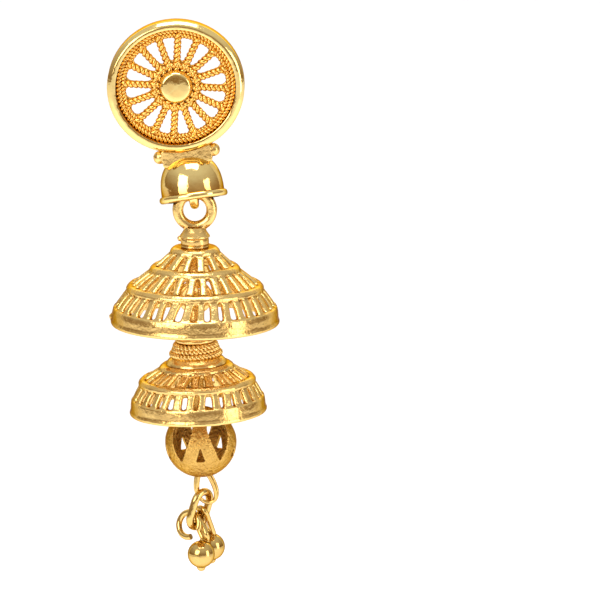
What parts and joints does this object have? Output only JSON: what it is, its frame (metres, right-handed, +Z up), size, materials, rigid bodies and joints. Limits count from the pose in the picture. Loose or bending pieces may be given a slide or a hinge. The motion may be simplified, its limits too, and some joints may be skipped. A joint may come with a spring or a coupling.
{
  "type": "jhumka earring",
  "caption": "Drop earring with an openwork wheel stud, a small cap with hook, two pierced bells hung one under the other, a pierced ball and a short tassel of links and drops",
  "frame": {"origin": "centre of the disc's back face, where the post leaves it and the ear lobe lies", "axes": "+Y points back along the post into the ear, +Z up, +X to the right seen from the front"},
  "size_m": [0.0186, 0.0209, 0.0613],
  "materials": {
    "cast_gold_finish": "cast and gold plated, softly polished",
    "polished_gold_finish": "gold plated, polished",
    "satin_gold_finish": "gold plated, finely stippled satin"
  },
  "bodies": {
    "stud": {"stud_disc": "cast_gold_finish", "centre_boss": "polished_gold_finish", "ear_post": "polished_gold_finish", "stud_cap": "polished_gold_finish"},
    "upper_drop": {"upper_loop": "cast_gold_finish", "upper_bell": "cast_gold_finish"},
    "lower_drop": {"lower_neck": "cast_gold_finish", "lower_bell": "cast_gold_finish", "pierced_ball": "satin_gold_finish", "tassel_link_1": "polished_gold_finish", "tassel_link_2": "polished_gold_finish", "tassel_link_3": "polished_gold_finish", "tassel_drop_1": "polished_gold_finish", "tassel_drop_2": "polished_gold_finish"}
  },
  "joints": [
    {"name": "upper_swing", "type": "hinge", "parent": "stud", "child": "upper_drop", "pos_m": [0.002, -0.00115, -0.01305], "axis": [0, 1, 0], "range_deg": [-60, 60]},
    {"name": "lower_swing", "type": "hinge", "parent": "upper_drop", "child": "lower_drop", "pos_m": [0.002, -0.00115, -0.02285], "axis": [0, 1, 0], "range_deg": [-36, 36]}
  ]
}
